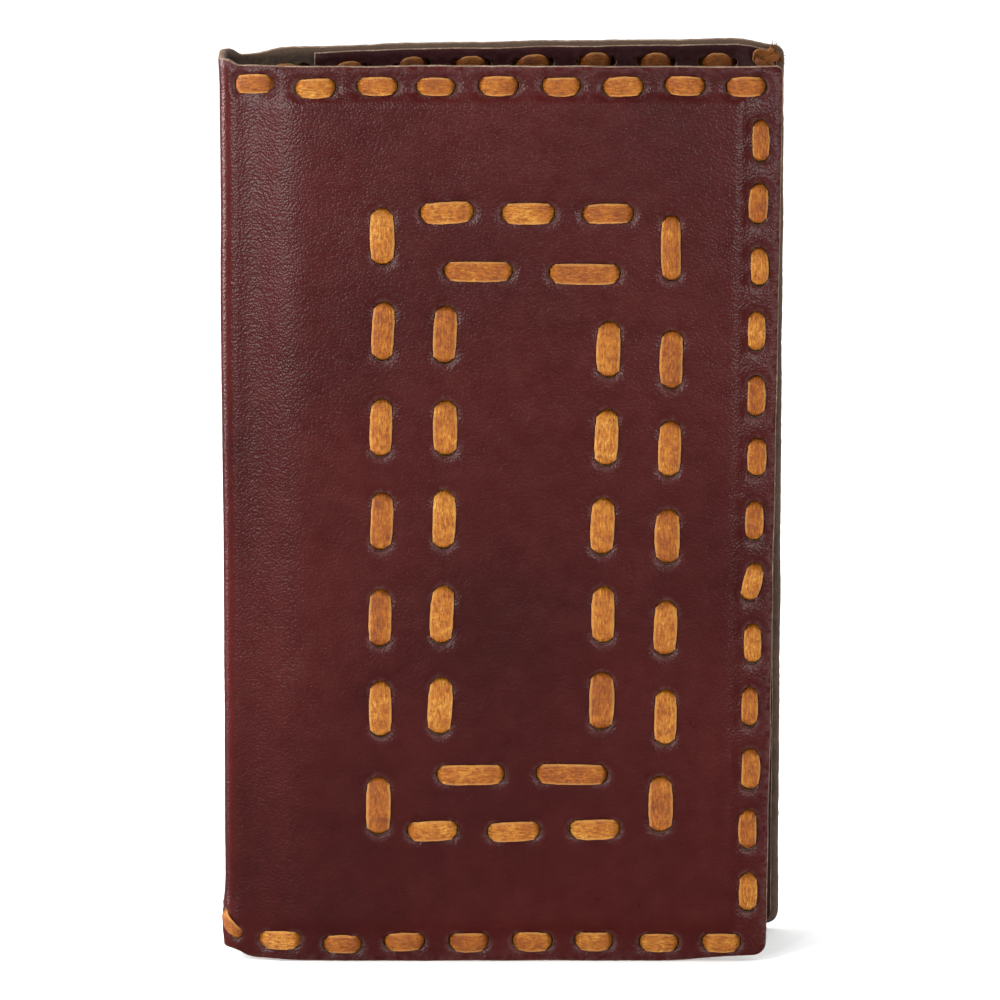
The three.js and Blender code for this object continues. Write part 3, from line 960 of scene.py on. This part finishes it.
class Strip:
    """A lace as rings: its middle (s, z, depth), the way to its left, half its width, crown and tint."""

    def __init__(self, side, border):
        self.side = side
        self.border = border
        self.rings = []

    def add(self, at, depth, left, half, crown, tint):
        self.rings.append((at[0], at[1], depth, left[0], left[1], half, crown, tint))

    def middle_of_hole(self, at):
        return (under_depth(self.side, at, self.border) + LACE_THICK / 2 + float(sag(self.side, *at))) / 2

    def over(self, stitch):
        """Up out of the first hole, over the leather and down into the last."""
        half_thick, length = LACE_THICK / 2, stitch.length
        turn = np.linspace(0, math.pi / 2, 7)
        lip = half_thick + TURN * (1 - np.cos(turn))
        x = np.concatenate([lip, np.linspace(lip[-1], length - lip[-1], 9)[1:-1], length - lip[::-1]])
        share = np.concatenate([np.sin(turn), np.ones(7), np.sin(turn[::-1])])
        reach = stitch.radius() - HOLE_SHOWS
        for distance, risen in zip(x, share):
            arch = math.sin(math.pi * distance / length)
            at = stitch.a + stitch.way * distance + stitch.left * stitch.bow * arch
            top = -float(swell(self.side, *at)) + stitch.sunk - half_thick - 0.18 * stitch.rise * arch
            depth = self.middle_of_hole(at) * (1 - risen) + top * risen
            out = reach - min(distance, length - distance)
            tucked = math.sqrt(max(0, 1 - (max(out, 0) / stitch.radius()) ** 2))
            full = 0.92 + 0.08 * float(smooth(-out / 2.5))
            half = stitch.width / 2 * full * (0.25 + 0.75 * tucked)
            near_end = (min(distance, length - distance) - half_thick) / TURN
            crown = (0.16 + 0.8 * math.exp(-(near_end**2))) * min(1, 3 * risen)
            self.add(at, depth, stitch.left, half, crown, stitch.tint)

    def under(self, start, end, left_start, left_end, width, tints):
        """From one hole to another along the inside."""
        gap = np.linalg.norm(end - start)
        way = (end - start) / gap
        left = np.array([-way[1], way[0]])
        turn = np.linspace(0, math.pi / 2, 6)[1:]
        lip = min(1.4, gap / 3) * (1 - np.cos(turn))
        x = np.concatenate([lip, np.linspace(lip[-1], gap - lip[-1], 6)[1:-1], gap - lip[::-1]])
        share = np.concatenate([np.sin(turn), np.ones(4), np.sin(turn[::-1])])
        for distance, sunk in zip(x, share):
            at = start + way * distance
            low = under_depth(self.side, at, self.border)
            near = left_start if distance < gap / 2 else left_end
            facing = unit(near * (1 - sunk) + left * sunk)
            depth = self.middle_of_hole(at) * (1 - sunk) + low * sunk
            tint = tints[0] + (tints[1] - tints[0]) * distance / gap
            # Inside the book the tint drops below 0, which the lace material paints darker: painted shade
            # between the panels.
            tint = tint * (1 - sunk) + (0.4 * tint - 0.8) * sunk
            near_end = min(distance, gap - distance)
            half = width / 2 * (0.6 + 0.36 * float(smooth((near_end + 0.5) / 2.8)))
            crown = -(0.1 + 0.45 * math.exp(-(near_end**2))) * min(1, 3 * sunk)
            self.add(at, depth, facing, half, crown, tint)

    def between(self, first, last):
        start = first.b - first.way * LACE_THICK / 2
        end = last.a + last.way * LACE_THICK / 2
        self.under(start, end, first.left, last.left, first.width, (first.tint, last.tint))

    def across_spine(self, hole, left, tint, outward):
        """Along the spine's inner face, between its middle and the hole nearest to it."""
        level = np.array([0.0, 1.0 if outward else -1.0])
        rings = []
        for s in np.linspace(0, hole[0] - 1.7, 7):
            at = (s, hole[1])
            bow = 0.8 * math.sin(math.pi * min(1, s / 10))
            rings.append((at, under_depth(self.side, at, True) + bow, level, LACE_WIDTH * 0.46, 0.05, 0.5))
        for sunk in (0.85, 0.45):
            at = (hole[0] - 0.25 - 0.6 * sunk, hole[1])
            depth = under_depth(self.side, at, True) * sunk + self.middle_of_hole(at) * (1 - sunk)
            facing = unit(left * (1 - sunk) + level * sunk)
            rings.append((at, depth, facing, LACE_WIDTH * 0.38, 0.1, tint))
        for ring in rings if outward else rings[::-1]:
            self.add(*ring)

    def run(self, stitches):
        for stitch, following in zip(stitches, [*stitches[1:], None]):
            self.over(stitch)
            if following is not None:
                self.between(stitch, following)

    def mesh(self, name, seed):
        """Sweeps the section along the rings."""
        ring = np.array(self.rings)
        middle, left, half, crown, tint = ring[:, :3], ring[:, 3:5], ring[:, 5], ring[:, 6], ring[:, 7]
        left = np.concatenate([left, np.zeros((len(left), 1))], 1)
        up = unit(np.cross(left, unit(np.gradient(middle, axis=0))))
        turns = (np.arange(LACE_ROUND) + 0.5) / LACE_ROUND * 2 * math.pi
        across, through = flattened(turns, 0.6, 0.7)
        run = np.concatenate([[0], np.cumsum(np.linalg.norm(np.diff(middle, axis=0), axis=1))])
        count = len(run)
        rough = bumps(np.repeat(run[:, None], LACE_ROUND, 1), np.tile(turns * 1.6, (count, 1)), 1.6, seed)
        wide = half[:, None] * across[None] * (1 + 0.035 * rough)
        thick = LACE_THICK / 2 * through[None] * (1 + 0.16 * rough) - crown[:, None] * across[None] ** 2
        at = middle[:, None] + wide[..., None] * left[:, None] + thick[..., None] * up[:, None]
        points = place(self.side, at[..., 0], at[..., 1], at[..., 2]).reshape(-1, 3)
        polygons = tube_polygons(count, LACE_ROUND)
        if self.side.sign < 0:
            polygons = [p[::-1] for p in polygons]
        run, tint = np.repeat(run, LACE_ROUND), np.repeat(tint, LACE_ROUND)
        return lace_object(name, points, polygons, np.tile(across, count), run, tint)


def border_lace(side):
    """From the spine's middle at the head, round the panel, and back to the spine's middle."""
    stitches = [*BORDERS[side.name], WRAPS[side.name]]
    strip = Strip(side, border=True)
    first, last = stitches[0], stitches[-1]
    strip.across_spine(first.a + first.way * LACE_THICK / 2, first.left, first.tint, outward=True)
    strip.run(stitches)
    strip.across_spine(last.b - last.way * LACE_THICK / 2, last.left, last.tint, outward=False)
    obj = strip.mesh(side.name + "_lace", side.seed)
    blend_at_fold(obj)
    if side is FRONT:
        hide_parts("front_border_lace", "spine_head_lace", "spine_foot_lace")
    else:
        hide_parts("back_border_lace")


def motif_lace(name, seed):
    """A stitched rectangle, with both ends of its lace running on inside for a little way."""
    stitches = MOTIFS[name]
    strip = Strip(FRONT, border=False)
    first, last = stitches[0], stitches[-1]
    tail = 7  # past the hole, of which the last turn is cut off
    far, start = first.a - first.way * tail, first.a + first.way * LACE_THICK / 2
    strip.under(far, start, first.left, first.left, first.width, (first.tint, first.tint))
    strip.rings = strip.rings[5:]
    strip.run(stitches)
    kept = len(strip.rings) + 9
    end, far = last.b - last.way * LACE_THICK / 2, last.b + last.way * tail
    strip.under(end, far, last.left, last.left, last.width, (last.tint, last.tint))
    strip.rings = strip.rings[:kept]
    obj = strip.mesh(name + "_motif_lace", seed)
    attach(obj, "front_panel")
    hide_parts(f"front_{name}_motif_lace")


for _side in (FRONT, BACK):
    border_lace(_side)
for _name, _seed in (("outer", 21), ("inner", 22)):
    motif_lace(_name, _seed)

# ---- Knot ----

KNOT_ROUND = 12  # points round its lace
FIBRES = 22  # at each frayed end
FIBRE_STEPS = 5
KNOT_TURN = math.radians(118)


def knot_path():
    """An overhand knot with straight tails, about its own middle, turned and flattened into its place."""
    size = 0.8
    turn = np.linspace(0.35, 2 * math.pi - 0.35, 64)
    loop = np.stack([
        size * (np.sin(turn) + 2 * np.sin(2 * turn)),
        size * 1.1 * (np.cos(turn) - 2 * np.cos(2 * turn)),
        0.85 * np.sin(3 * turn),
    ], 1)
    first_way, last_way = loop[0] - loop[1], loop[-1] - loop[-2]
    head = [loop[0] + first_way * k * 1.6 + (0.02 * k, -0.05 * k, -0.05 * k) for k in range(7, 0, -1)]
    tail = [loop[-1] + last_way * k * 1.6 + (0.03 * k, -0.06 * k, 0.03 * k) for k in range(1, 8)]
    path = np.concatenate([head, loop, tail])
    cos, sin = math.cos(KNOT_TURN), math.sin(KNOT_TURN)
    path[:, :2] = path[:, :2] @ np.array([[cos, sin], [-sin, cos]])
    return path * (1.12, 0.82, 1.0) + 0.25 * np.sin(path[:, [1, 2, 0]] * 2.1)


def fibre(root, aim, curl, length):
    """The rings of three points of one loose fibre, thinning to its tip."""
    spread = unit(np.cross(aim, (0.3, 0.2, 1.0)))
    other = np.cross(aim, spread)
    rings = []
    for share in np.arange(FIBRE_STEPS) / (FIBRE_STEPS - 1):
        middle = root - aim * 0.4 + aim * (length + 0.4) * share + curl * share**2
        thin = 0.11 * (1 - 0.8 * share)
        for turn in (0, 2.094, 4.189):
            rings.append(middle + spread * math.cos(turn) * thin + other * math.sin(turn) * thin)
    return np.array(rings)


def knot():
    """The tied end of the border lace, with two frayed tails, inside the back's corner."""
    rng = np.random.default_rng(8)
    centre = np.array([along(KNOT["u"]), KNOT["z"], FLANGE_DEPTH + POCKET + LACE_THICK + 2.0])
    path = knot_path() + centre
    count = len(path)
    way = unit(np.gradient(path, axis=0))
    lean = np.stack([np.cos(np.linspace(0, 3, count)) * 0.5, np.zeros(count), np.ones(count)], 1)
    left = unit(np.cross(lean, way))
    up = np.cross(left, way)
    across, through = flattened(np.arange(KNOT_ROUND) / KNOT_ROUND * 2 * math.pi, 0.7, 0.8)
    half = 0.92 + 0.2 * bumps(np.arange(count) * 0.4, 0 * path[:, 0], 2.0, 5)
    to_end = np.minimum(np.arange(count), np.arange(count)[::-1])
    half = half * (0.75 + 0.25 * smooth(to_end / 6))
    wide, thick = half[:, None] * across, 0.42 * through * np.ones((count, 1)) - 0.2 * across**2
    at = path[:, None] + wide[..., None] * left[:, None] + thick[..., None] * up[:, None]
    points = [at.reshape(-1, 3)]
    polygons = tube_polygons(count, KNOT_ROUND)
    start = KNOT_ROUND * count
    for end, out in ((0, -1), (-1, 1)):
        for _ in range(FIBRES):
            root = path[end] + left[end] * rng.uniform(-0.9, 0.9) + up[end] * rng.uniform(-0.35, 0.35)
            aim = unit(way[end] * out + rng.normal(0, 0.45, 3))
            length, curl = rng.uniform(0.8, 2.3), rng.normal(0, 0.35, 3)
            points.append(fibre(root, aim, curl, length))
            polygons += [tuple(start + v for v in p) for p in tube_polygons(FIBRE_STEPS, 3)]
            start += 3 * FIBRE_STEPS
    points = np.concatenate(points)
    row_of = np.arange(len(points))
    at = place(BACK, points[:, 0], points[:, 1], points[:, 2])
    tint = np.full(len(points), -0.75)
    run = row_of / KNOT_ROUND * 0.35
    obj = lace_object("corner_knot", at, polygons, across[row_of % KNOT_ROUND], run, tint)
    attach(obj, "back_panel")
    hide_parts("back_corner_knot")


knot()

# ---- Floor, light and camera ----

FLOOR_GLOW = 0.34
ELEVATION = math.radians(12)  # of the camera
DISTANCE = 2.05
LENS = 296.5
AIM_ACROSS = 67.75  # from the front fold
AIM_HEIGHT = 118.8


def stage():
    """A white floor, which is dark where it is only seen mirrored in the object."""
    reach = 6.0
    corners = [(-reach, -reach, 0), (reach, -reach, 0), (reach, reach, 0), (-reach, reach, 0)]
    floor = mesh_object("floor", corners, [(0, 1, 2, 3)], [])
    n = Nodes("floor")
    tone = n.ramp(n.noise(n.place(), 3, 2, 0.5), [(0.3, (0.86, 0.86, 0.86)), (0.7, (0.9, 0.9, 0.9))])
    mirrored = n.add("LightPath").outputs["Is Glossy Ray"]
    tone = n.mix(mirrored, tone, (0.05, 0.05, 0.05))
    n.feed(n.shader.inputs["Base Color"], tone)
    n.feed(n.shader.inputs["Emission Color"], tone)
    n.shader.inputs["Emission Strength"].default_value = FLOOR_GLOW
    n.shader.inputs["Roughness"].default_value = 0.9
    n.shader.inputs["Specular IOR Level"].default_value = 0.1
    floor.data.materials.append(n.material)


def softbox(name, where, aim, size, power):
    light = bpy.data.lights.new(name, "AREA")
    light.shape = "RECTANGLE"
    light.size, light.size_y = size
    light.energy = power
    obj = bpy.data.objects.new(name, light)
    obj.location = where
    obj.rotation_euler = (Vector(aim) - Vector(where)).to_track_quat("-Z", "Y").to_euler()
    bpy.context.scene.collection.objects.link(obj)


def lights():
    middle = (0, 0, HEIGHT / 2 * MM)
    softbox("key", (-0.3, -0.74, 0.22), middle, (0.1, 0.16), 2.7)
    softbox("upper_left", (-0.42, -0.5, 0.78), middle, (0.22, 0.22), 3.4)
    softbox("right", (0.31, -0.74, 0.18), middle, (0.1, 0.12), 1.5)
    softbox("left_rim", (-1.1, 0.1, 0.4), middle, (0.3, 0.9), 28)
    softbox("floor_wash", (0, 0.65, 1.5), (0, 0.6, 0), (2.6, 2.4), 35)
    world = bpy.data.worlds.new("world")
    world.use_nodes = True
    background = world.node_tree.nodes["Background"]
    background.inputs["Color"].default_value = (1, 1, 1, 1)
    background.inputs["Strength"].default_value = 0.15
    bpy.context.scene.world = world


def camera():
    """Square to the front panel, and a little above it."""
    aim = Vector((FRONT.hinge[0] + AIM_ACROSS, FRONT.hinge[1] - FOLD, AIM_HEIGHT)) * MM
    back = Vector((0, -math.cos(ELEVATION), math.sin(ELEVATION)))
    data = bpy.data.cameras.new("camera")
    data.lens = LENS
    data.clip_end = 50
    obj = bpy.data.objects.new("camera", data)
    obj.location = aim + back * DISTANCE
    obj.rotation_euler = (-back).to_track_quat("-Z", "Y").to_euler()
    bpy.context.scene.collection.objects.link(obj)
    bpy.context.scene.camera = obj
    bpy.context.scene.view_settings.view_transform = "Standard"


stage()
lights()
camera()
